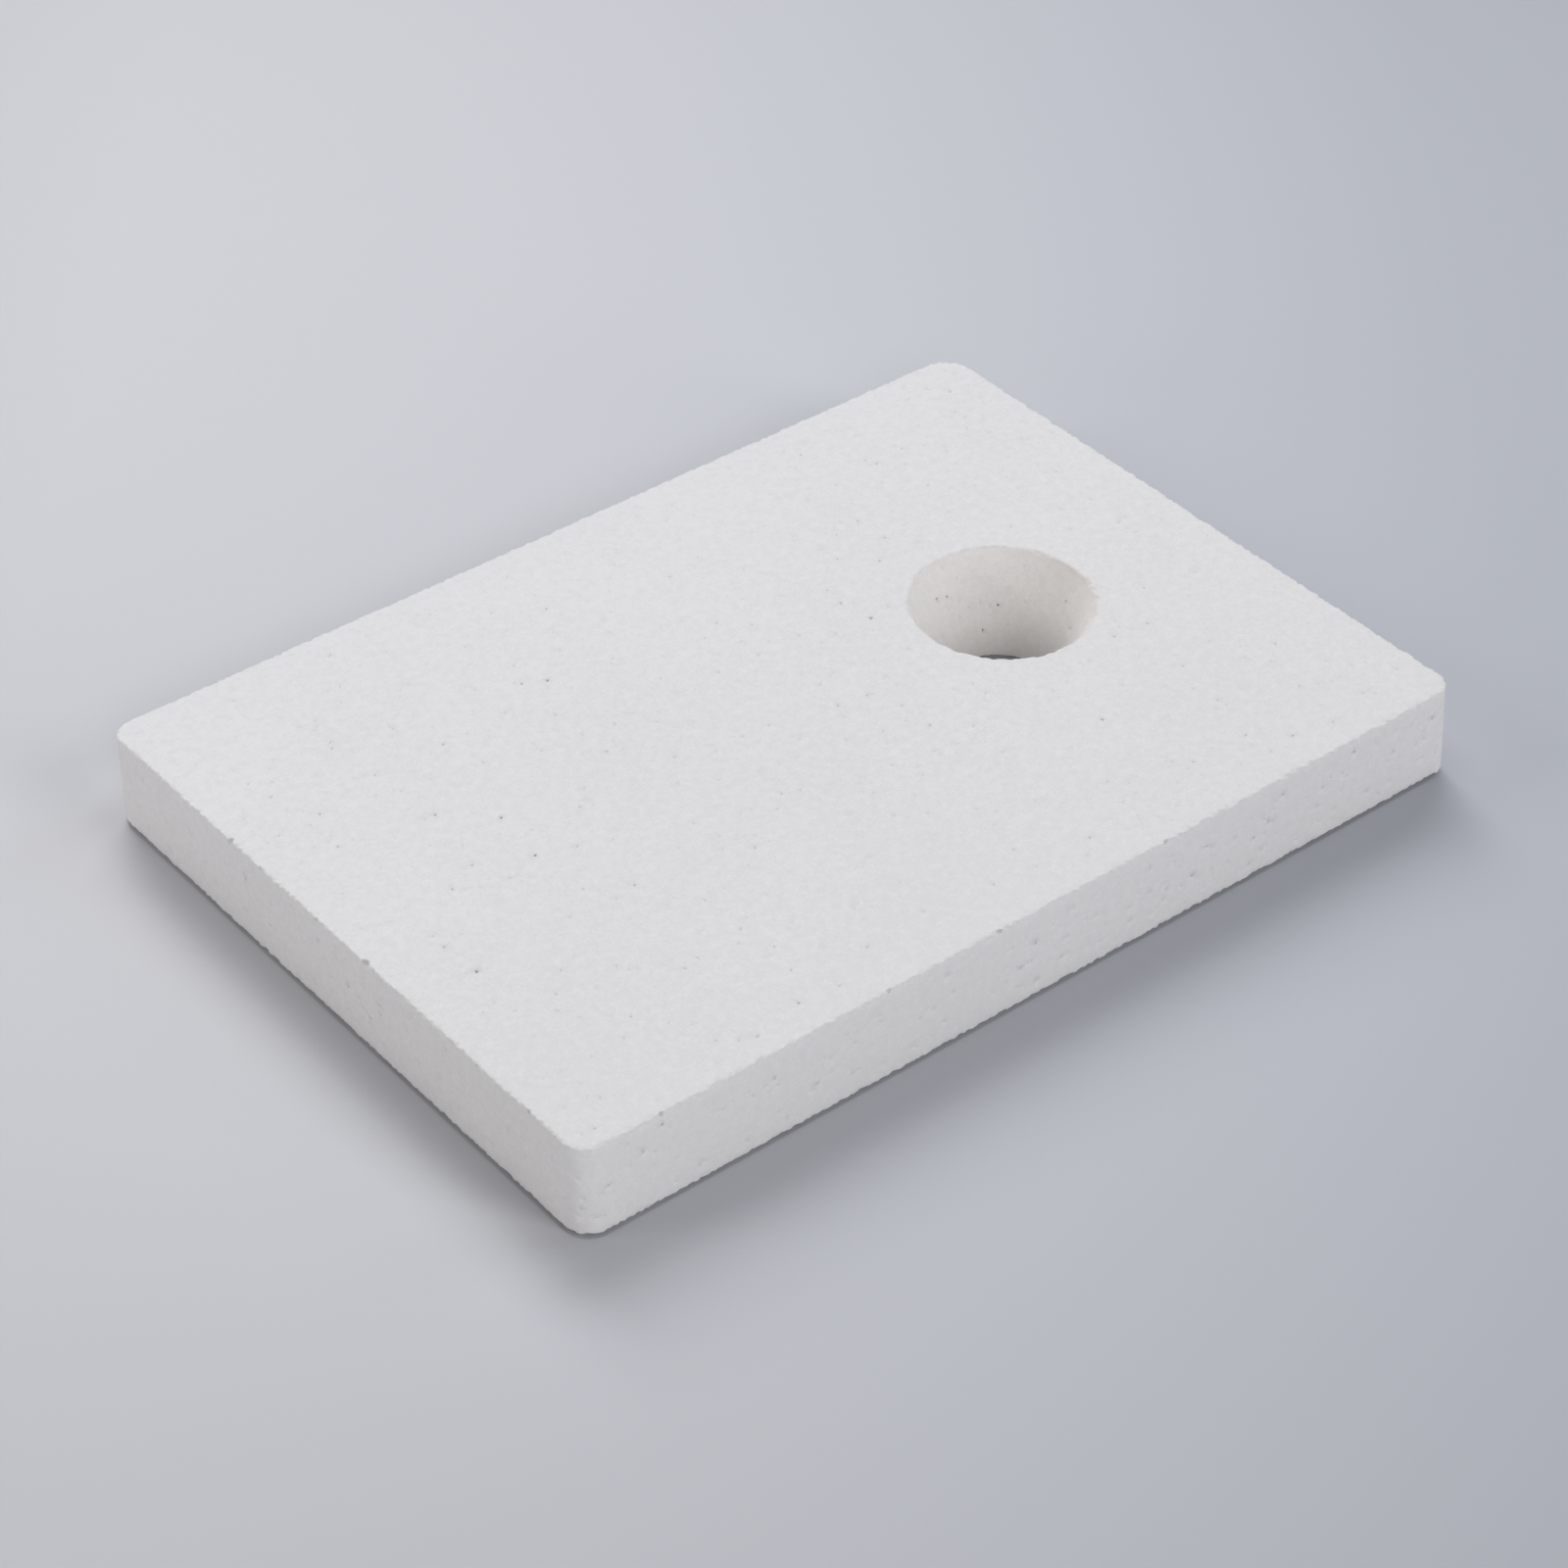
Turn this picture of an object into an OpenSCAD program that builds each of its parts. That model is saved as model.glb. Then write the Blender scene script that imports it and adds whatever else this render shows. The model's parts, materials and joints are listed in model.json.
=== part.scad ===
// Soldering board: a flat slab of fired ceramic with rounded upright corners
// and one tapered hole near the middle of one end.
// The origin is the middle of the underside. +X runs along the length toward
// the end with the hole, +Y runs across the slab and +Z points up.

/* [Slab] */
// Length of the slab, along X
board_l = 140; // [120:1:200]
// Width of the slab, along Y
board_w = 100; // [80:1:150]
// Thickness of the slab, from the underside to the working face
board_t = 14; // [8:0.5:25]
// Radius of the four upright corners
corner_r = 3.5; // [1:0.5:12]
// Width of the broken edge round both faces, at 45 degrees
edge_break = 0.4; // [0.2:0.1:0.8]

/* [Tapered hole] */
// Distance from the end of the slab to the axis of the hole
hole_from_end = 33.7; // [20:0.1:45]
// Width of the taper at the working face
hole_top_d = 25; // [20:0.5:30]
// Width of the taper at the underside
hole_bottom_d = 13.5; // [8:0.5:18]
// How far the worn lip widens the radius of the hole at each face
lip_out = 0.15; // [0.05:0.05:0.5]
// Height of the worn lip at each face
lip_h = 0.3; // [0.2:0.1:0.8]

/* [Colour] */
// Colour of the fired ceramic
board_color = "gainsboro"; // [gainsboro, whitesmoke, lightgrey]

/* [Hidden] */
$fn = 96;

// How far each cut runs past the face that it opens
overrun = 1;

// The centres of the upright corners
post_x = board_l / 2 - corner_r;
post_y = board_w / 2 - corner_r;

// The axis of the hole, which lies on the long middle line of the slab
hole_x = board_l / 2 - hole_from_end;

// The taper: its radius at each face, and how much it opens for each unit of height
top_r = hole_top_d / 2;
bottom_r = hole_bottom_d / 2;
taper = (top_r - bottom_r) / board_t;

// Radius of the taper at a height above the underside
function taper_r(z) = bottom_r + taper * z;

// The worn lips: where each starts on the taper, and how much it opens for each unit of height
top_lip_r = taper_r(board_t - lip_h);
bottom_lip_r = taper_r(lip_h);
top_lip_slope = (top_r + lip_out - top_lip_r) / lip_h;
bottom_lip_slope = (bottom_r + lip_out - bottom_lip_r) / lip_h;

// Outer edge of a section, from the underside to the working face: an upright
// face at the distance reach, with a broken edge below and above
function broken_edge(reach) = [
    [reach - edge_break, 0],
    [reach, edge_break],
    [reach, board_t - edge_break],
    [reach - edge_break, board_t]
];

// The same edge on the far side of the section, from the top down
function mirrored_edge(reach) = [
    for (i = [len(broken_edge(reach)) - 1 : -1 : 0])
        [-broken_edge(reach)[i][0], broken_edge(reach)[i][1]]
];

// A straight run of the slab: the section across it, extruded along its length
module straight_run(across, along) {
    linear_extrude(height = along, center = true)
        polygon(concat(broken_edge(across / 2), mirrored_edge(across / 2)));
}

// An upright corner: half of the section, turned about the centre of the corner
module corner_post() {
    rotate_extrude()
        polygon(concat([[0, 0]], broken_edge(corner_r), [[0, board_t]]));
}

// The slab before the hole: two crossing runs with a post in each corner
module slab() {
    rotate([90, 0, 0])
        straight_run(board_l, post_y * 2);
    rotate([90, 0, 90])
        straight_run(board_w, post_x * 2);
    for (side_x = [-1, 1], side_y = [-1, 1])
        translate([side_x * post_x, side_y * post_y, 0])
            corner_post();
}

// The cut for the hole: worn lip, taper and worn lip, as one turned profile
module hole_cut() {
    rotate_extrude()
        polygon([
            [0, -overrun],
            [bottom_lip_r + bottom_lip_slope * (lip_h + overrun), -overrun],
            [bottom_lip_r, lip_h],
            [top_lip_r, board_t - lip_h],
            [top_lip_r + top_lip_slope * (lip_h + overrun), board_t + overrun],
            [0, board_t + overrun]
        ]);
}

module board() {
    color(board_color)
        difference() {
            slab();
            translate([hole_x, 0, 0])
                hole_cut();
        }
}

board();
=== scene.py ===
"""Soldering board: one slab of fired ceramic with a tapered hole, lying on a plain pale floor.

The object is in metres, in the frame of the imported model: the origin is the middle of the
underside, +X runs along the length toward the end with the hole and +Z points up. Its shape is
worked out in millimetres and scaled when the mesh is made.
"""
import json
import math

import bpy
import numpy as np
from mathutils import Matrix, Vector, noise
from mathutils.geometry import delaunay_2d_cdt


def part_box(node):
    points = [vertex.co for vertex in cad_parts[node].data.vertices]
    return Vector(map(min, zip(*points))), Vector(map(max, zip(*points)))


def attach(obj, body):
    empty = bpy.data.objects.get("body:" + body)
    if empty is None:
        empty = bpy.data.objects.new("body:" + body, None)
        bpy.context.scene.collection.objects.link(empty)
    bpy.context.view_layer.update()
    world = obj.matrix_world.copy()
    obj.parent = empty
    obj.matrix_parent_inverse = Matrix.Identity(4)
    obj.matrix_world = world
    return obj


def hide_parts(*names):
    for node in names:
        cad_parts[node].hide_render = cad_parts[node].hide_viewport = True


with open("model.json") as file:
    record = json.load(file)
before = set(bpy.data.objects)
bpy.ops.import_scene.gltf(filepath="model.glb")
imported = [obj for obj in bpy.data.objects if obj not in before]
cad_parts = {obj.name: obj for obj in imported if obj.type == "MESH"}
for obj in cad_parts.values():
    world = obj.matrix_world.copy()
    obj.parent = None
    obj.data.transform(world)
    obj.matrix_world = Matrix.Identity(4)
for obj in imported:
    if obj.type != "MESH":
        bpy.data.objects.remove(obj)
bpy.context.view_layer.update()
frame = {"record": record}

MM = 0.001
QUARTER = math.pi / 2
TURN = 2 * math.pi

# ---- Sizes of the board, in millimetres --------------------------------------------------

BOX_LOW, BOX_HIGH = (np.array(corner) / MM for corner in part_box("board"))
HALF_L, HALF_W, THICK = BOX_HIGH
HOLE_MOUNT = next(m for m in frame["record"]["mounts"] if m["name"] == "tapered_hole")
HOLE_CENTRE = np.array(HOLE_MOUNT["pos_m"][:2]) / MM

HOLE_TOP_R = 12.5           # taper at the working face
HOLE_BOTTOM_R = 6.75        # taper at the underside
LIP_OUT = 0.15              # worn lip at each end of the taper
LIP_H = {1: 0.6, -1: 0.3}   # at the working face and at the underside
# Rounding of the edges round the working face and the underside: reach in from the side, and height
ARRIS_IN = {1: 0.30, -1: 0.85}
ARRIS_H = {1: 0.30, -1: 0.60}
NOMINAL_CORNER_R = 3.5

# Upright corners, anticlockwise from the back left one: the side each lies on, the angle at
# which its arc starts, and its worn radius at the underside and at the working face
CORNERS = (
    ((-1, 1), 1 * QUARTER, (3.2, 3.1)),
    ((-1, -1), 2 * QUARTER, (3.7, 3.2)),
    ((1, -1), 3 * QUARTER, (1.9, 3.5)),
    ((1, 1), 0 * QUARTER, (4.6, 4.6)),
)

# ---- Fineness of the mesh, in millimetres ------------------------------------------------

EDGE_COLUMNS = 2200         # columns of vertices round the outline
LIP_COLUMNS = 260           # and round the hole
EDGE_ROWS = 5               # rows across a rounded edge, both ends counted
LIP_ROWS = 4
FACE_STEP = 1.35            # spacing of the vertices on plain ground
WALL_STEP = 1.15
HOLE_STEP = 0.9
# Bands of finer vertices beside the edges: distance in from the edge, every n-th column
EDGE_BANDS = ((0.2, 1), (0.5, 2), (1.0, 4), (1.8, 8))
LIP_BANDS = ((0.35, 2), (0.95, 4))
WALL_BANDS = ((0.25, 2), (0.65, 4), (1.2, 8))
CLOSEST = 0.04              # neighbours in a band are no nearer than this
BAND_ROOM = 0.98            # least room of a band's vertex, as a share of its distance in
JITTER = 0.22               # of the plain ground, as a share of its spacing
GROUND_ROOM, PORE_ROOM = 0.35, 0.3      # its distance from bands and pores, likewise
COINCIDE = 1e-6             # vertices nearer than this count as one

# ---- Wear and pores, in millimetres ------------------------------------------------------

SEED = 41
PORE_R = (0.11, 0.28)
PORE_DEPTH = (0.2, 0.6)      # as shares of the radius
PORE_GAP = 0.25
PORE_POWER = 0.5             # the large ones are the rarer
PORE_UNEVEN = (0.88, 1.12)
# Rings of a pore's vertices: share of its radius, how many, share of its depth
PORE_RINGS = ((1.0, 7, 0.0), (0.6, 6, 0.8))
PORE_DARKEST = 0.36          # depth of the darkest pores
FACE_PORES, WALL_PORES, HOLE_PORES = 0.078, 0.13, 0.09     # for each square millimetre
# Depth of each kind of unevenness, and the size and the seed of its noise
WAVE, WAVE_NOISE = 0.05, (16, 3)
GRAIN, GRAIN_NOISE = 0.025, (0.8, 7)
EDGE_WAVE, EDGE_WAVE_NOISE = 0.15, (1.6, 11)
EDGE_GRIT, EDGE_GRIT_NOISE = 0.30, (0.6, 17)
GRIT_CONTRAST = 2.0
EDGE_REACH = {1: 1.0, -1: 1.6}      # how far from an edge its wear is felt
LIP_WEAR = {1: 0.2, -1: 0.08}       # wear of the hole's lips, as a share of the outer edges'
LIP_BITE = {1: 0.3, -1: 0.1}
# Crumbs out of the edges: how many, radius of the ball that cuts each, how deep, and its slant
CRUMBS_PER_MM = 0.9
CRUMB_R = (0.3, 0.8)
CRUMB_BITE = (0.05, 0.18)
CRUMB_SLANT = (0.65, 1.15)  # radians from the vertical

# Larger open pores, each with its place, radius and depth
TOP_MARKS = (               # x, y
    (-60.5, -17.0, 0.29, 0.65), (-41.5, 4.5, 0.26, 0.52), (-20.5, 23.5, 0.28, 0.50),
    (20.5, 8.0, 0.28, 0.50), (-42.5, -4.0, 0.23, 0.42), (-47.5, 10.0, 0.21, 0.34),
    (29.5, -27.0, 0.24, 0.24), (-36.5, -16.0, 0.18, 0.24), (-23.5, 25.0, 0.28, 0.20),
    (46.0, -44.5, 0.20, 0.20), (-34.5, -45.0, 0.22, 0.20), (19.5, 13.0, 0.20, 0.19),
    (25.5, 21.0, 0.18, 0.18), (44.0, 35.0, 0.22, 0.18), (9.5, -4.5, 0.17, 0.18),
    (-58.5, 19.0, 0.18, 0.18), (-61.0, -11.0, 0.20, 0.18), (-50.0, 29.0, 0.18, 0.18),
    (32.5, -40.5, 0.18, 0.18),
)
FRONT_MARKS = (             # x, z on the -Y side
    (36.5, 7.9, 0.25, 0.62), (23.5, 5.8, 0.25, 0.56), (51.5, 11.8, 0.28, 0.44),
    (-58.1, 12.1, 0.26, 0.50), (65.5, 10.4, 0.26, 0.36), (34.0, 6.5, 0.22, 0.36),
    (-2.0, 8.8, 0.21, 0.34), (-61.0, 9.6, 0.24, 0.32), (39.0, 11.2, 0.26, 0.30),
    (26.0, 9.4, 0.22, 0.30), (-4.5, 6.0, 0.22, 0.30), (-66.0, 7.3, 0.26, 0.28),
    (-42.0, 9.8, 0.22, 0.28), (-36.0, 5.4, 0.22, 0.28),
)
LEFT_MARKS = (              # y, z on the -X side
    (-3.5, 7.4, 0.26, 0.42), (13.5, 5.6, 0.22, 0.36), (2.5, 10.6, 0.22, 0.36),
    (-8.0, 5.4, 0.24, 0.36), (-10.0, 9.0, 0.24, 0.34), (-10.3, 7.6, 0.20, 0.34),
    (18.5, 9.6, 0.28, 0.32),
)
HOLE_MARKS = (              # degrees round the hole from +X, z
    (102, 9.5, 0.22, 0.40), (92, 9.0, 0.21, 0.32), (51, 6.5, 0.22, 0.34),
    (65, 3.4, 0.22, 0.30), (340, 7.3, 0.20, 0.20), (356, 9.6, 0.24, 0.20),
)

# Chips out of the upper edge: place along its side, size of the ball that cuts it, bite
FRONT_CHIPS = ((-58.0, 0.55, 0.32), (19.5, 0.9, 0.30), (-7.5, 0.9, 0.28), (-24.5, 1.0, 0.24))
LEFT_CHIPS = (
    (-7.5, 0.85, 0.50), (-8.9, 0.6, 0.35), (21.5, 0.8, 0.40), (-45.0, 0.7, 0.3), (-30.0, 0.9, 0.25),
    (-25.2, 0.8, 0.22), (-40.0, 0.8, 0.22), (15.0, 0.7, 0.20), (2.8, 0.7, 0.20),
)
# Painted shade in the chips
CHIP_SHADE = 0.17           # a chip is as dark as a pore of this depth

rng = np.random.RandomState(SEED)


# ---- Outline -----------------------------------------------------------------------------

def outline_length():
    return 4 * (HALF_L + HALF_W - 2 * NOMINAL_CORNER_R) + TURN * NOMINAL_CORNER_R


def corner_radius(corner, z):
    """Worn radius of a corner at the heights z."""
    at_base, at_top = corner[2]
    return at_base + (at_top - at_base) * np.clip(z / THICK, 0, 1)


def corner_point(corner, z, angle):
    """Points and normals on a corner's arc at the heights z."""
    side, _, _ = corner
    radius = corner_radius(corner, z)[:, None]
    normals = np.c_[np.cos(angle), np.sin(angle)]
    return np.array(side) * (np.array([HALF_L, HALF_W]) - radius) + radius * normals, normals


def outline(s, z):
    """Points and outward normals of the side face at the distances s along the outline, which
    runs anticlockwise from the middle of the back side, and at the heights z."""
    s = np.mod(np.asarray(s, float), outline_length())
    z = np.broadcast_to(np.asarray(z, float), s.shape)
    run_x, run_y = HALF_L - NOMINAL_CORNER_R, HALF_W - NOMINAL_CORNER_R
    arc = QUARTER * NOMINAL_CORNER_R
    points, normals = np.zeros((len(s), 2)), np.zeros((len(s), 2))
    begin = 0.0
    for k, length in enumerate((run_x, 2 * run_y, 2 * run_x, 2 * run_y, run_x)):
        inside = (s >= begin) & (s <= begin + length)
        share = ((s[inside] - begin) / length)[:, None]
        here = z[inside]
        middle = np.tile((0.0, HALF_W), (len(here), 1))
        start, end = middle, middle
        if k > 0:
            before = CORNERS[k - 1]
            start, _ = corner_point(before, here, np.full(len(here), before[1] + QUARTER))
        if k < len(CORNERS):
            end, _ = corner_point(CORNERS[k], here, np.full(len(here), CORNERS[k][1]))
        points[inside] = start + (end - start) * share
        normals[inside] = (math.cos((k + 1) * QUARTER), math.sin((k + 1) * QUARTER))
        begin += length
        if k < len(CORNERS):
            inside = (s > begin) & (s < begin + arc)
            angle = CORNERS[k][1] + (s[inside] - begin) / NOMINAL_CORNER_R
            points[inside], normals[inside] = corner_point(CORNERS[k], z[inside], angle)
            begin += arc
    return points, normals


def taper_radius(z):
    return HOLE_BOTTOM_R + (HOLE_TOP_R - HOLE_BOTTOM_R) * z / THICK


def hole_ray(count):
    angle = np.arange(count) * TURN / count
    return np.c_[np.cos(angle), np.sin(angle)]


def left_side(y):
    """Distance along the outline of a place on the -X side."""
    arc = QUARTER * NOMINAL_CORNER_R
    return (HALF_L - NOMINAL_CORNER_R) + arc + (HALF_W - NOMINAL_CORNER_R - y)


def front_side(x):
    """Distance along the outline of a place on the -Y side."""
    arc = QUARTER * NOMINAL_CORNER_R
    return left_side(-HALF_W + NOMINAL_CORNER_R) + arc + (HALF_L - NOMINAL_CORNER_R + x)


# ---- Mesh parts --------------------------------------------------------------------------

class Skin:
    """Vertices with the outward normal of the sound surface and a pore depth, and triangles."""

    def __init__(self):
        self.points, self.normals, self.pores = np.zeros((0, 3)), np.zeros((0, 3)), np.zeros(0)
        self.faces = []

    def add(self, points, normals, pores=None):
        first = len(self.points)
        self.points = np.vstack([self.points, points])
        self.normals = np.vstack([self.normals, normals])
        self.pores = np.r_[self.pores, np.zeros(len(points)) if pores is None else pores]
        return np.arange(first, first + len(points))

    def strip(self, upper, lower, inward=False):
        """Closes the band between two rings; seen from outside, upper lies above lower."""
        after_u, after_l = np.roll(upper, -1), np.roll(lower, -1)
        faces = np.vstack([np.c_[upper, lower, after_l], np.c_[upper, after_l, after_u]])
        self.faces.append(faces[:, ::-1] if inward else faces)

    def patch(self, flat, edges, index, inward=False, without=None):
        """Triangulates the flat points within the given edges. index names their vertices, and
        a triangle with all three corners in the ring without is left out."""
        coords, _, found, origin, _, _ = delaunay_2d_cdt(
            [Vector(p) for p in flat], [(int(a), int(b)) for a, b in edges], [], 0, COINCIDE)
        if len(coords) != len(flat):
            raise RuntimeError("points of a patch coincide")
        source = np.array([o[0] for o in origin])
        faces = source[np.array([tuple(f) for f in found])]
        if without is not None:
            faces = faces[~np.all(np.isin(faces, without), axis=1)]
        a, b, c = (flat[faces[:, k]] for k in range(3))
        area = (b[:, 0] - a[:, 0]) * (c[:, 1] - a[:, 1]) - (b[:, 1] - a[:, 1]) * (c[:, 0] - a[:, 0])
        faces = np.where((area < 0)[:, None], faces[:, ::-1], faces)
        faces = index[faces]
        self.faces.append(faces[:, ::-1] if inward else faces)


def ring_edges(first, count):
    return [(first + i, first + (i + 1) % count) for i in range(count)]


def scattered(low, high, step):
    """Points of a slightly disturbed triangular grid inside a rectangle."""
    rise = step * math.sqrt(3) / 2
    rows = []
    for k, y in enumerate(np.arange(low[1] + rise / 2, high[1], rise)):
        x = np.arange(low[0] + step * (0.25 + 0.5 * (k % 2)), high[0], step)
        rows.append(np.c_[x, np.full(len(x), y)])
    points = np.vstack(rows)
    return points + rng.uniform(-JITTER, JITTER, points.shape) * step


def pore_field(low, high, per_mm2, inside):
    """Places, radii and depths of small pores in a rectangle, none touching another."""
    count = int(per_mm2 * (high[0] - low[0]) * (high[1] - low[1]))
    place = rng.uniform(low, high, (count, 2))
    radius = PORE_R[0] + (PORE_R[1] - PORE_R[0]) * rng.power(PORE_POWER, count)
    depth = radius * rng.uniform(*PORE_DEPTH, count)
    kept = []
    for i in np.flatnonzero(inside(place, radius)):
        away = np.hypot(*(place[kept] - place[i]).T) if kept else np.zeros(0)
        if np.all(away > radius[kept] + radius[i] + PORE_GAP):
            kept.append(i)
    return place[kept], radius[kept], depth[kept]


def with_marks(pores, marks):
    """The pores and the larger marks, each of which clears a place of its own."""
    if not marks:
        return pores
    marks = np.array(marks, float)
    away = np.hypot(*(pores[0][:, None] - marks[None, :, :2]).transpose(2, 0, 1))
    keep = np.all(away > pores[1][:, None] + marks[None, :, 2] + PORE_GAP, axis=1)
    added = marks[:, :2], marks[:, 2], marks[:, 3]
    return tuple(np.concatenate([old[keep], new]) for old, new in zip(pores, added))


def pore_points(pores):
    """Flat places and depths of each pore's rim, floor and middle."""
    places, depths = [], []
    for centre, radius, depth in zip(*pores):
        turn = rng.uniform(0, TURN)
        for share, count, sunk_share in PORE_RINGS:
            angle = turn + np.arange(count) * TURN / count
            reach = radius * share * rng.uniform(*PORE_UNEVEN, count)
            places.append(centre + np.c_[np.cos(angle), np.sin(angle)] * reach[:, None])
            depths += [depth * sunk_share] * count
        places.append(centre[None])
        depths.append(depth)
    return np.vstack(places), np.array(depths)


def ground_points(low, high, step, inside, pores):
    """Plain ground between the pores."""
    points = scattered(low, high, step)
    points = points[inside(points, GROUND_ROOM * step)]
    free = np.ones(len(points), bool)
    for centre, radius in zip(pores[0], pores[1]):
        free &= np.hypot(*(points - centre).T) > radius + PORE_ROOM * step
    return points[free]


# ---- The slab's patches ------------------------------------------------------------------

def edge_ring(skin, s, z_face, up, turn):
    """A ring of an edge's rounding: at turn 0 it lies on the flat face, at QUARTER on the side."""
    z = np.full(len(s), z_face - up * ARRIS_H[up] * (1 - math.cos(turn)))
    base, normals = outline(s, z)
    points = np.c_[base - normals * ARRIS_IN[up] * (1 - math.sin(turn)), z]
    across, upright = ARRIS_H[up] * math.sin(turn), ARRIS_IN[up] * math.cos(turn)
    length = math.hypot(across, upright)
    return skin.add(points, np.c_[normals * across, np.full(len(s), up * upright)] / length)


def lip_ring(skin, z_face, up, turn):
    """A ring of the hole's worn lip: at turn 0 it lies on the face, at QUARTER on the taper."""
    mouth_r = taper_radius(z_face) + LIP_OUT
    foot_r = taper_radius(z_face - up * LIP_H[up])
    radius = foot_r + (mouth_r - foot_r) * (1 - math.sin(turn))
    z = z_face - up * LIP_H[up] * (1 - math.cos(turn))
    ray = hole_ray(LIP_COLUMNS)
    points = np.c_[HOLE_CENTRE + ray * radius, np.full(LIP_COLUMNS, z)]
    return skin.add(points, np.c_[-ray * math.sin(turn), np.full(LIP_COLUMNS, up * math.cos(turn))])


def large_face(skin, s, outer, lip, z, up, marks):
    """A large face between the outer ring and the lip of the hole."""
    lip_r = taper_radius(z) + LIP_OUT
    half = np.array([HALF_L, HALF_W])

    def edge_room(points):
        room = np.min(half - np.abs(points), axis=1)
        for side, _, (at_base, at_top) in CORNERS:
            radius = at_top if up > 0 else at_base
            out = (points - np.array(side) * (half - radius)) * side
            in_corner = np.all(out > 0, axis=1)
            room = np.where(in_corner, np.minimum(room, radius - np.hypot(*out.T)), room)
        return room - ARRIS_IN[up]

    def inside(points, margin):
        hole_room = np.hypot(*(points - HOLE_CENTRE).T) - lip_r
        return (edge_room(points) > margin + EDGE_BANDS[-1][0]) & \
            (hole_room > margin + LIP_BANDS[-1][0])

    base, normals = outline(s, z)
    bands = []
    for away, every in EDGE_BANDS:
        row = (base - normals * (ARRIS_IN[up] + away))[::every]
        row = row[edge_room(row) > BAND_ROOM * away]
        bands.append(row[np.hypot(*(row - np.roll(row, 1, axis=0)).T) > CLOSEST])
    for away, every in LIP_BANDS:
        bands.append(HOLE_CENTRE + hole_ray(LIP_COLUMNS // every) * (lip_r + away))
    pores = with_marks(pore_field(-half, half, FACE_PORES, inside), marks)
    ground = ground_points(-half, half, FACE_STEP, inside, pores)
    pore_at, pore_depth = pore_points(pores)
    free = np.vstack(bands + [ground, pore_at])
    depths = np.r_[np.zeros(len(free) - len(pore_at)), pore_depth]
    level = np.full(len(free), z)
    first = skin.add(np.c_[free, level], np.tile((0, 0, up), (len(free), 1)), depths)
    index = np.r_[outer, lip, first]
    edges = ring_edges(0, len(outer)) + ring_edges(len(outer), len(lip))
    skin.patch(skin.points[index, :2], edges, index, inward=up < 0,
               without=np.arange(len(outer), len(outer) + len(lip)))


def round_wall(skin, upper, lower, place_at, width, span, bands, step, pores_per_mm2, inward,
               marks):
    """A wall that closes on itself, unrolled flat. Its two ends share one column of vertices."""
    low, high = span
    n = len(upper)
    band_reach = bands[-1][0] if bands else 0

    def inside(points, margin):
        margin = np.asarray(margin) + PORE_GAP
        return (np.minimum(points[:, 1] - low, high - points[:, 1]) > margin + band_reach) & \
            (np.minimum(points[:, 0], width - points[:, 0]) > margin)

    corner_low, corner_high = np.array([0.0, low]), np.array([width, high])
    pores = with_marks(pore_field(corner_low, corner_high, pores_per_mm2, inside), marks)
    ground = ground_points(corner_low, corner_high, step, inside, pores)
    pore_at, pore_depth = pore_points(pores)
    seam_z = np.linspace(low, high, int((high - low) / step) + 1)[1:-1]
    seam = np.c_[np.zeros(len(seam_z)), seam_z]
    rows = []
    for away, every in bands:
        across = np.arange(every, n, every) * width / n
        rows += [np.c_[across, np.full(len(across), z)] for z in (high - away, low + away)]
    free = np.vstack([seam, *rows, ground, pore_at])
    points, outward = place_at(free)
    first = skin.add(points, outward, np.r_[np.zeros(len(free) - len(pore_at)), pore_depth])
    along = np.arange(n + 1) * width / n
    flat = np.vstack([np.c_[along, np.full(n + 1, high)], np.c_[along, np.full(n + 1, low)],
                      free, seam + (width, 0)])
    index = np.r_[upper, upper[0], lower, lower[0], first, first[:len(seam)]]
    edges = [(row + i, row + i + 1) for row in (0, n + 1) for i in range(n)]
    near_seam = 2 * (n + 1) + np.arange(len(seam))
    far_seam = near_seam + len(free)
    for bottom, column, top in ((n + 1, near_seam, 0), (2 * n + 1, far_seam, n)):
        chain = np.r_[bottom, column, top]
        edges += list(zip(chain[:-1], chain[1:]))
    skin.patch(flat, edges, index, inward)


def side_place(flat):
    """Points of the side face, from distances along the outline and heights."""
    base, normals = outline(flat[:, 0], flat[:, 1])
    return np.c_[base, flat[:, 1]], np.c_[normals, np.zeros(len(flat))]


def hole_width():
    """Length of the unrolled hole, measured at half its depth."""
    return TURN * taper_radius(THICK / 2)


def hole_place(flat):
    angle = flat[:, 0] / taper_radius(THICK / 2)
    ray = np.c_[np.cos(angle), np.sin(angle)]
    lean = math.atan2(HOLE_TOP_R - HOLE_BOTTOM_R, THICK)
    points = np.c_[HOLE_CENTRE + ray * taper_radius(flat[:, 1])[:, None], flat[:, 1]]
    return points, np.c_[-ray * math.cos(lean), np.full(len(flat), math.sin(lean))]


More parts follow.
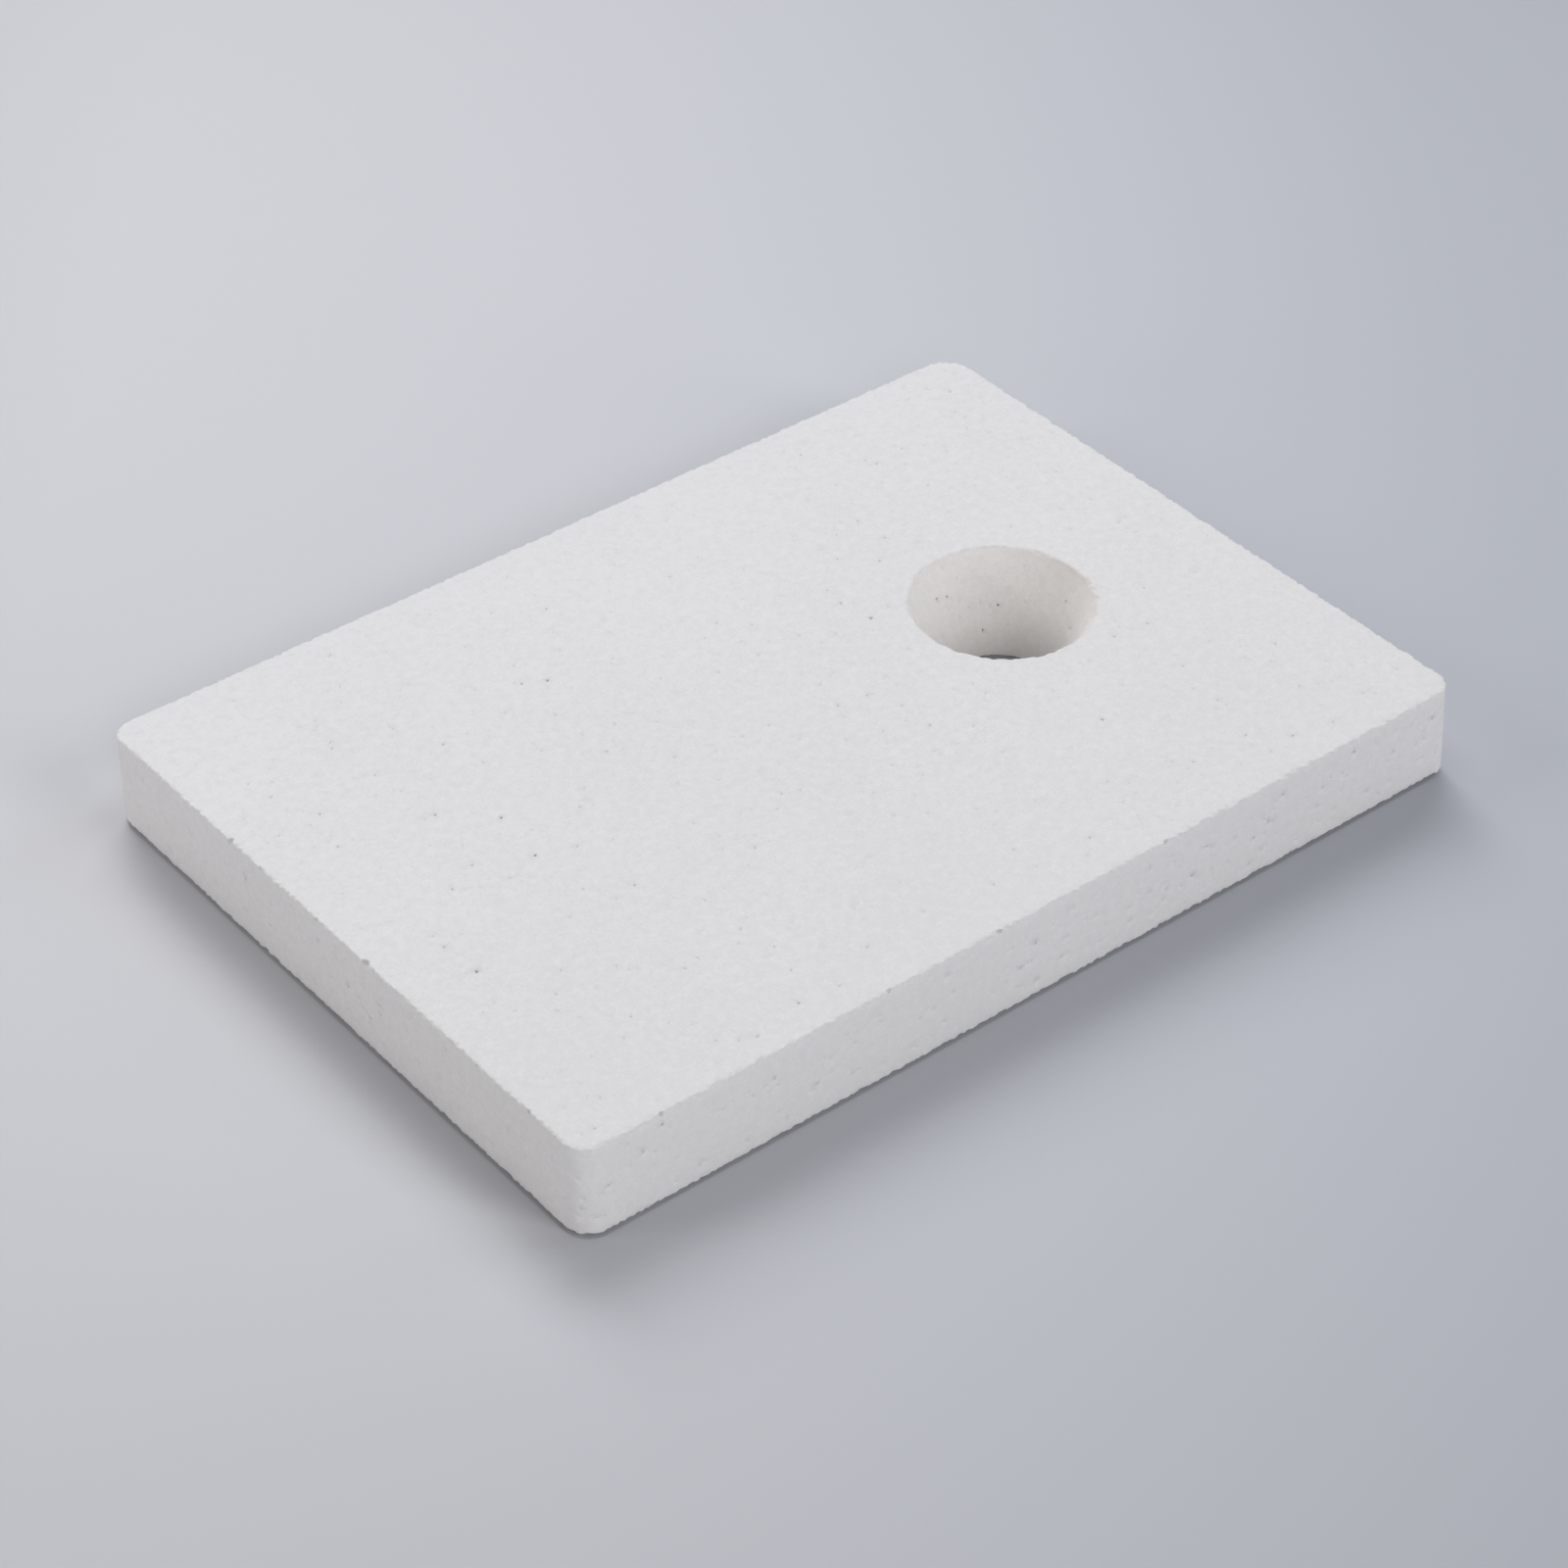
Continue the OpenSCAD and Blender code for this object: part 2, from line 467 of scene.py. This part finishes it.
def build_skin():
    skin = Skin()
    s = np.arange(EDGE_COLUMNS) * outline_length() / EDGE_COLUMNS
    turns = np.linspace(0, QUARTER, EDGE_ROWS)
    top = [edge_ring(skin, s, THICK, 1, turn) for turn in turns]
    bottom = [edge_ring(skin, s, 0.0, -1, turn) for turn in turns[::-1]]
    for rings in (top, bottom):
        for upper, lower in zip(rings[:-1], rings[1:]):
            skin.strip(upper, lower)
    turns = np.linspace(0, QUARTER, LIP_ROWS)
    lip_top = [lip_ring(skin, THICK, 1, turn) for turn in turns]
    lip_bottom = [lip_ring(skin, 0.0, -1, turn) for turn in turns[::-1]]
    for rings in (lip_top, lip_bottom):
        for upper, lower in zip(rings[:-1], rings[1:]):
            skin.strip(upper, lower, inward=True)
    large_face(skin, s, top[0], lip_top[0], THICK, 1, TOP_MARKS)
    large_face(skin, s, bottom[-1], lip_bottom[-1], 0.0, -1, ())
    side_span = (ARRIS_H[-1], THICK - ARRIS_H[1])
    side_marks = [(front_side(x), z, radius, depth) for x, z, radius, depth in FRONT_MARKS]
    side_marks += [(left_side(y), z, radius, depth) for y, z, radius, depth in LEFT_MARKS]
    round_wall(skin, top[-1], bottom[0], side_place, outline_length(), side_span,
               WALL_BANDS, WALL_STEP, WALL_PORES, False, side_marks)
    around = hole_width() / 360
    hole_marks = [(degrees * around, z, radius, depth) for degrees, z, radius, depth in HOLE_MARKS]
    hole_span = (LIP_H[-1], THICK - LIP_H[1])
    round_wall(skin, lip_top[-1], lip_bottom[0], hole_place, hole_width(), hole_span,
               (), HOLE_STEP, HOLE_PORES, True, hole_marks)
    return skin


# ---- Wear --------------------------------------------------------------------------------

def noise_at(points, size, seed):
    """Noise from 0 to 1 at each point, with features of the given size."""
    offset = Vector((seed, -seed, 2 * seed))
    return np.array([0.5 + 0.5 * noise.noise(Vector(p) / size + offset) for p in points]).clip(0, 1)


def edge_nearness(points):
    """How near each point is to an edge, from 1 on it to 0 beside it and less on the hole's lips,
    and the diagonal out of that edge, halfway between its two faces."""
    half = np.array([HALF_L, HALF_W])
    flat, from_face = points[:, :2], np.minimum(points[:, 2], THICK - points[:, 2])
    room = half - np.abs(flat)
    from_side = room.min(axis=1)
    out = np.where(room[:, :1] < room[:, 1:], (1, 0), (0, 1)) * np.sign(flat)
    for side, _, (at_base, at_top) in CORNERS:
        worn = at_base + (at_top - at_base) * points[:, 2] / THICK
        away = (flat - np.array(side) * (half - worn[:, None])) * side
        length = np.hypot(*away.T)
        in_corner = np.all(away > 0, axis=1)
        from_side = np.where(in_corner, worn - length, from_side)
        out[in_corner] = (away * side)[in_corner] / length[in_corner, None]
    ray = flat - HOLE_CENTRE
    radius = np.hypot(*ray.T)
    from_hole = np.abs(radius - taper_radius(points[:, 2]))
    at_hole = from_hole < from_side
    out[at_hole] = -ray[at_hole] / radius[at_hole, None]
    upper = points[:, 2] > THICK / 2
    reach = np.where(upper, EDGE_REACH[1], EDGE_REACH[-1])
    on_rim = 1 - (from_face + from_side) / reach
    on_lip = np.where(upper, LIP_WEAR[1], LIP_WEAR[-1]) * (1 - (from_face + from_hole) / reach)
    share = np.clip(np.maximum(on_rim, on_lip), 0, 1)
    return share, np.c_[out, np.sign(points[:, 2] - THICK / 2)] / math.sqrt(2)


def scoop(points, centre, radius, outward):
    """Sinks the vertices inside a ball, against the outward direction, to its far surface, and
    returns their numbers."""
    near = np.flatnonzero(np.all(np.abs(points - centre) < radius, axis=1))
    out = points[near] - centre
    along = out @ outward
    across = (out ** 2).sum(axis=1) - along ** 2
    hit = across + along ** 2 < radius ** 2
    sink = along[hit] + np.sqrt(radius ** 2 - across[hit])
    points[near[hit]] -= sink[:, None] * outward
    return near[hit]


def crumble_edges(skin):
    """Small bites out of the edges round both faces and out of the hole's lips."""
    points, rims = skin.points, []
    for z_face, up in ((THICK, 1), (0.0, -1)):
        count = int(outline_length() * CRUMBS_PER_MM)
        base, normals = outline(rng.uniform(0, outline_length(), count), z_face)
        rims.append((base, normals, z_face, up, 1, (ARRIS_IN[up], ARRIS_H[up])))
        radius = taper_radius(z_face)
        angle = rng.uniform(0, TURN, int(TURN * radius * CRUMBS_PER_MM))
        ray = np.c_[np.cos(angle), np.sin(angle)]
        mouth = HOLE_CENTRE + ray * (radius + LIP_OUT)
        rims.append((mouth, -ray, z_face, up, LIP_BITE[up], (LIP_OUT, LIP_H[up])))
    for base, normals, z_face, up, share, rounding in rims:
        for place, normal in zip(base, normals):
            size, bite = rng.uniform(*CRUMB_R), rng.uniform(*CRUMB_BITE) * share
            bite_at(points, place, normal, z_face, up, rounding, size, bite)
    for chips, side in ((FRONT_CHIPS, front_side), (LEFT_CHIPS, left_side)):
        for where, size, bite in chips:
            base, normals = outline([side(where)], THICK)
            rounding = ARRIS_IN[1], ARRIS_H[1]
            cut = bite_at(points, base[0], normals[0], THICK, 1, rounding, size, bite)
            # painted shade in the chip
            skin.pores[cut] = np.maximum(skin.pores[cut], CHIP_SHADE)


def bite_at(points, place, normal, z_face, up, rounding, size, bite):
    """One bite: a ball whose middle stands off the edge, so that it cuts in by bite."""
    slant = rng.uniform(*CRUMB_SLANT)
    level, upright = math.sin(slant), math.cos(slant)
    outward = np.array([normal[0] * level, normal[1] * level, up * upright])
    corner = np.array([place[0], place[1], z_face])
    reach, height = rounding
    inward = np.array([normal[0] * reach, normal[1] * reach, up * height])
    edge = corner - inward * (1 - math.sqrt(0.5))
    return scoop(points, edge + outward * (size - bite), size, outward)


def wear(skin):
    points = skin.points
    sunk = skin.pores + WAVE * noise_at(points, *WAVE_NOISE)
    sunk += GRAIN * noise_at(points, *GRAIN_NOISE)
    near_edge, diagonal = edge_nearness(points)
    grit = 0.5 + GRIT_CONTRAST * (noise_at(points, *EDGE_GRIT_NOISE) - 0.5)
    rough = EDGE_WAVE * noise_at(points, *EDGE_WAVE_NOISE) ** 2 + EDGE_GRIT * grit.clip(0, 1)
    skin.points = points - skin.normals * sunk[:, None] - diagonal * (near_edge * rough)[:, None]
    crumble_edges(skin)


# ---- Objects -----------------------------------------------------------------------------

def make_board():
    skin = build_skin()
    wear(skin)
    mesh = bpy.data.meshes.new("fired_board")
    faces = np.vstack(skin.faces)
    mesh.from_pydata((skin.points * MM).tolist(), [], faces.tolist())
    mesh.validate()
    mesh.polygons.foreach_set("use_smooth", np.ones(len(mesh.polygons), bool))
    # depth of each pore and chip, for their painted shade in the material
    pore = mesh.attributes.new("pore", "FLOAT", "POINT")
    pore.data.foreach_set("value", (skin.pores / PORE_DARKEST).clip(0, 1).astype(np.float32))
    board = bpy.data.objects.new("fired_board", mesh)
    bpy.context.scene.collection.objects.link(board)
    mesh.materials.append(ceramic_material())
    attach(board, "root")
    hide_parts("board")


# ---- Materials ---------------------------------------------------------------------------

# Linear colours
CERAMIC_LIGHT = (0.807, 0.793, 0.784)
CERAMIC_DARK = (0.736, 0.722, 0.708)
# Dark colour of the pinpricks and of the painted shade in the open pores and chips; then that
# shade's strength in the darkest pores, and its fall
PORE_COLOUR = (0.11, 0.10, 0.095)
PORE_SHADE, PORE_SHADE_POWER = 0.85, 1.5     # darkness of the darkest pores, and its fall
# Noise textures: scale, detail, roughness, and swing between the light and the dark
CLOUDS = (45.0, 3.0, 0.55, 0.6)
MOTTLE = (800.0, 2.0, 0.6, 1.5)
FINE_GRAIN = (2600.0, 3.0, 0.7, 2.0)
# Pinpricks: scale of their cells, from and to of their size, share of the cells that have none,
# and darkness
PIN_SCALE, PIN_SIZE, PIN_NONE, PIN_STAIN = 900.0, (0.10, 0.22), 0.72, 0.042
BUMP_STRENGTH, BUMP_DEPTH = 0.5, 0.00004        # the depth in metres
CERAMIC_FINISH, FLOOR_FINISH = (0.95, 0.15), (0.9, 0.1)     # roughness and specular level
# Painted falloff of light: the board's colour pales slowly from front to back: direction,
# from and to in metres, and swing
PAINTED_FALLOFF = ((0, 1, 0), (-0.05, 0.05), (-0.3, 0.3))
# Painted light on the hole's wall, from warm painted bounce light deep in it to a painted highlight
# on its rim, with the heights in metres
HOLE_DEEP, HOLE_RIM = (1.005, 0.985, 0.96), (1.06, 1.04, 1.02)
HOLE_LIGHT_Z = (0.004, 0.0125)
# The floor's colours at either end of its painted falloff of light
FLOOR_PALE = (0.653, 0.649, 0.667)
FLOOR_DEEP = (0.484, 0.498, 0.530)

# The floor is painted with a falloff of light, darker from one side to the other along a direction
# from and to, in metres, and away from a painted pool of light, which has its middle, its turn
# from X, its reach across and away, and its shade in the middle and where it ends
FLOOR_ACROSS = ((0.780, -0.626, 0), (-0.103, 0.103))
POOL_AT, POOL_TURN, POOL_REACH = (0.0763, 0.1017, 0), math.radians(-38.75), (0.447, 0.588, 1)
POOL_SHADE, FLOOR_LEAST = 1.10, 0.85
# Painted contact shadow: where the board meets it the floor is painted darker, in a thin band
# inside a broad one: from and to, in metres off the board's foot, and the shade at either end
CONTACT_BANDS = (((-0.0001, 0.0003), (0.74, 1.0)), ((0.0, 0.007), (0.88, 1.0)))
FLOOR_HALF = 6.0            # metres


def new_material(name, finish):
    material = bpy.data.materials.new(name)
    material.use_nodes = True
    shader = material.node_tree.nodes["Principled BSDF"]
    for socket, value in zip(("Roughness", "Specular IOR Level"), finish):
        shader.inputs[socket].default_value = value
    return material, material.node_tree, shader


def feed(tree, socket, value):
    """Links a socket to another one, or sets it where value is a number or a vector."""
    if isinstance(value, bpy.types.NodeSocket):
        tree.links.new(value, socket)
    else:
        socket.default_value = value


def node(tree, kind, **inputs):
    made = tree.nodes.new(kind)
    for name, value in inputs.items():
        feed(tree, made.inputs[name], value)
    return made


def maths(tree, operation, *operands):
    made = tree.nodes.new("ShaderNodeMath")
    made.operation = operation
    for socket, value in zip(made.inputs, operands):
        feed(tree, socket, value)
    return made.outputs[0]


def vector_maths(tree, operation, *operands):
    made = tree.nodes.new("ShaderNodeVectorMath")
    made.operation = operation
    for socket, value in zip(made.inputs, operands):
        feed(tree, socket, value)
    return made.outputs["Value" if operation in ("DOT_PRODUCT", "LENGTH") else "Vector"]


def map_range(tree, value, reach, shades, kind="LINEAR"):
    made = tree.nodes.new("ShaderNodeMapRange")
    made.interpolation_type = kind
    for name, end in zip(("From Min", "From Max", "To Min", "To Max"), (*reach, *shades)):
        made.inputs[name].default_value = end
    feed(tree, made.inputs["Value"], value)
    return made.outputs["Result"]


def blend(tree, share, a, b):
    """Mixes the colour a into b by share."""
    made = tree.nodes.new("ShaderNodeMix")
    made.data_type = "RGBA"
    for name, value in (("Factor", share), ("A", a), ("B", b)):
        feed(tree, made.inputs[name], value)
    return made.outputs["Result"]


def shade_along(tree, place, direction, reach, shades):
    """Maps the distance along a direction to a shade."""
    return map_range(tree, vector_maths(tree, "DOT_PRODUCT", place, direction), reach, shades)


def hole_painted_light(tree, place):
    """White outside the hole, and inside it the painted light of its wall at each height."""
    offset = vector_maths(tree, "SUBTRACT", place, (*HOLE_CENTRE * MM, 0))
    x, y, z = node(tree, "ShaderNodeSeparateXYZ", Vector=offset).outputs
    squared = maths(tree, "ADD", maths(tree, "MULTIPLY", x, x), maths(tree, "MULTIPLY", y, y))
    inside = maths(tree, "LESS_THAN", squared, ((HOLE_TOP_R + LIP_OUT / 2) * MM) ** 2)
    inside = maths(tree, "MULTIPLY", inside, maths(tree, "GREATER_THAN", z, LIP_H[-1] * MM))
    height = shade_along(tree, place, (0, 0, 1), HOLE_LIGHT_Z, (0, 1))
    tint = blend(tree, height, (*HOLE_DEEP, 1), (*HOLE_RIM, 1))
    return blend(tree, inside, (1, 1, 1, 1), tint)


def ceramic_material():
    """Matt fired ceramic: faint clouds, fine grain, pinprick pores and painted shade in open pores.
    """
    material, tree, shader = new_material("fired_ceramic", CERAMIC_FINISH)
    place = tree.nodes.new("ShaderNodeTexCoord").outputs["Object"]

    # painted falloff of light from front to back
    mixed = maths(tree, "ADD", 0.5, shade_along(tree, place, *PAINTED_FALLOFF))
    levels = []
    for scale, detail, roughness, weight in (CLOUDS, MOTTLE, FINE_GRAIN):
        texture = node(tree, "ShaderNodeTexNoise", Vector=place, Scale=scale, Detail=detail,
                       Roughness=roughness)
        levels.append(texture.outputs["Fac"])
        swing = maths(tree, "SUBTRACT", levels[-1], 0.5)
        mixed = maths(tree, "ADD", mixed, maths(tree, "MULTIPLY", swing, weight))
    _, _, grain = levels
    tone = blend(tree, mixed, (*CERAMIC_DARK, 1), (*CERAMIC_LIGHT, 1))
    # painted bounce light and highlight in the hole
    body = vector_maths(tree, "MULTIPLY", tone, hole_painted_light(tree, place))

    cells = node(tree, "ShaderNodeTexVoronoi", Vector=place, Scale=PIN_SCALE, Randomness=1.0)
    pick = node(tree, "ShaderNodeSeparateColor", Color=cells.outputs["Color"])
    pin = maths(tree, "MULTIPLY", map_range(tree, cells.outputs["Distance"], PIN_SIZE, (1.0, 0.0)),
                maths(tree, "GREATER_THAN", pick.outputs["Red"], PIN_NONE))
    pin = maths(tree, "MULTIPLY", pin, pick.outputs["Green"])

    # Painted shade in the open pores and chips, darker where they are deeper
    open_pore = tree.nodes.new("ShaderNodeAttribute")
    open_pore.attribute_name = "pore"
    sunk = maths(tree, "POWER", open_pore.outputs["Fac"], PORE_SHADE_POWER)
    dark = maths(tree, "MAXIMUM", maths(tree, "MULTIPLY", pin, PIN_STAIN),
                 maths(tree, "MULTIPLY", sunk, PORE_SHADE))
    feed(tree, shader.inputs["Base Color"], blend(tree, dark, body, (*PORE_COLOUR, 1)))

    bump = node(tree, "ShaderNodeBump", Strength=BUMP_STRENGTH, Distance=BUMP_DEPTH,
                Height=maths(tree, "SUBTRACT", grain, pin))
    feed(tree, shader.inputs["Normal"], bump.outputs["Normal"])
    return material


def painted_light_pool(tree, place):
    """Painted pool of light, whose shade falls off with the square of the distance from the middle.
    """
    local = node(tree, "ShaderNodeMapping", Vector=place, Location=POOL_AT,
                 Rotation=(0, 0, POOL_TURN), Scale=POOL_REACH)
    local.vector_type = "TEXTURE"
    square = vector_maths(tree, "DOT_PRODUCT", *[local.outputs["Vector"]] * 2)
    return maths(tree, "MAXIMUM", maths(tree, "SUBTRACT", POOL_SHADE, square), FLOOR_LEAST)


def painted_contact_shadow(tree, place):
    """Painted contact shadow, by the distance from the rounded rectangle that the board stands on.
    """
    radius = NOMINAL_CORNER_R * MM
    corner = HALF_L * MM - radius, HALF_W * MM - radius, 0
    beyond = vector_maths(tree, "SUBTRACT", vector_maths(tree, "ABSOLUTE", place), corner)
    outside = vector_maths(tree, "LENGTH", vector_maths(tree, "MAXIMUM", beyond, (0, 0, 0)))
    away, shade = maths(tree, "SUBTRACT", outside, radius), 1
    for reach, shades in CONTACT_BANDS:
        shade = maths(tree, "MULTIPLY", shade, map_range(tree, away, reach, shades, "SMOOTHSTEP"))
    return shade


def floor_material():
    material, tree, shader = new_material("pale_floor", FLOOR_FINISH)
    place = tree.nodes.new("ShaderNodeTexCoord").outputs["Object"]
    # The floor's colour holds painted light: a falloff across it, a pool and a contact shadow
    across = blend(tree, shade_along(tree, place, *FLOOR_ACROSS, (0, 1)),
                   (*FLOOR_PALE, 1), (*FLOOR_DEEP, 1))
    shaded = tree.nodes.new("ShaderNodeVectorMath")
    shaded.operation = "SCALE"
    feed(tree, shaded.inputs["Vector"], across)
    shade = maths(tree, "MULTIPLY", painted_light_pool(tree, place), painted_contact_shadow(tree, place))
    feed(tree, shaded.inputs["Scale"], shade)
    feed(tree, shader.inputs["Base Color"], shaded.outputs["Vector"])
    return material


def make_floor():
    mesh = bpy.data.meshes.new("floor")
    corners = ((-1, -1), (1, -1), (1, 1), (-1, 1))
    mesh.from_pydata([(x * FLOOR_HALF, y * FLOOR_HALF, 0) for x, y in corners], [], [(0, 1, 2, 3)])
    floor = bpy.data.objects.new("floor", mesh)
    bpy.context.scene.collection.objects.link(floor)
    mesh.materials.append(floor_material())


# ---- Camera and light --------------------------------------------------------------------

VIEW_AZ = math.radians(-38.91)      # where the camera stands, round from the front (-Y)
VIEW_EL = math.radians(38.54)
VIEW_ROLL = math.radians(0.16)
VIEW_DISTANCE = 0.5362              # metres, from the point that it looks at
LENS, SENSOR = 95.3, 36             # millimetres
CLIP = (0.01, 50)                   # metres
AIM_RIGHT, AIM_UP = -0.00038, 0.00107     # the point it looks at, off the board's origin


def view_axes(azimuth, elevation):
    """Right, up and back of a camera that stands at that azimuth and elevation."""
    back = Vector((math.sin(azimuth) * math.cos(elevation),
                   -math.cos(azimuth) * math.cos(elevation), math.sin(elevation)))
    right = Vector((math.cos(azimuth), math.sin(azimuth), 0))
    return right, back.cross(right), back


def placed(obj, right, up, back, place):
    turn = Matrix((right, up, back)).transposed().to_4x4()
    obj.matrix_world = Matrix.Translation(place) @ turn
    bpy.context.scene.collection.objects.link(obj)


def make_camera():
    data = bpy.data.cameras.new("camera")
    data.sensor_width = SENSOR
    data.lens = LENS
    data.clip_start, data.clip_end = CLIP
    camera = bpy.data.objects.new("camera", data)
    right, up, back = view_axes(VIEW_AZ, VIEW_EL)
    place = right * AIM_RIGHT + up * AIM_UP + back * VIEW_DISTANCE
    level, roll = (right, up), (math.cos(VIEW_ROLL), math.sin(VIEW_ROLL))
    right = level[0] * roll[0] + level[1] * roll[1]
    up = level[1] * roll[0] - level[0] * roll[1]
    placed(camera, right, up, back, place)
    bpy.context.scene.camera = camera


# Broad distant lights: azimuth and elevation they come from and breadth, all in degrees,
# strength and colour
LIGHTS = {
    "back_key": (160, 35, 24, 0.76, (1.0, 1.0, 1.0)),
    "back_high": (160, 50, 24, 0.36, (0.965, 0.995, 1.04)),
    "back_broad": (190, 35, 60, 0.51, (0.99, 0.995, 1.015)),
    "back_left": (-120, 30, 24, 0.51, (0.995, 0.995, 1.01)),
    "back_right": (135, 50, 24, 0.72, (0.98, 0.995, 1.025)),
    "left": (-60, 22, 24, 0.15, (0.98, 0.98, 1.04)),
    "left_low": (-90, 12, 24, 0.32, (1.04, 0.995, 0.965)),
    "front": (-30, 35, 24, 0.66, (0.985, 0.99, 1.025)),
    "front_right": (20, 35, 24, 0.68, (0.975, 0.99, 1.035)),
    "front_low": (20, 12, 24, 0.59, (1.01, 0.985, 1.005)),
    "right": (75, 35, 24, 0.26, (0.83, 0.97, 1.20)),
}
WORLD_COLOUR = (0.44, 0.46, 0.50)      # seen by the camera beyond the floor; it lights nothing


def make_lights():
    for name, (azimuth, elevation, breadth, strength, colour) in LIGHTS.items():
        data = bpy.data.lights.new(name, "SUN")
        data.angle = math.radians(breadth)
        data.energy = strength
        data.color = colour
        right, up, back = view_axes(math.radians(azimuth), math.radians(elevation))
        placed(bpy.data.objects.new(name, data), right, up, back, back)


def make_world():
    world = bpy.data.worlds.new("studio")
    world.use_nodes = True
    tree = world.node_tree
    background = tree.nodes["Background"]
    background.inputs["Color"].default_value = (*WORLD_COLOUR, 1)
    seen = tree.nodes.new("ShaderNodeLightPath").outputs["Is Camera Ray"]
    tree.links.new(seen, background.inputs["Strength"])
    bpy.context.scene.world = world


# ---- The scene ---------------------------------------------------------------------------

make_board()
make_floor()
make_camera()
make_lights()
make_world()
bpy.context.scene.view_settings.view_transform = "Standard"
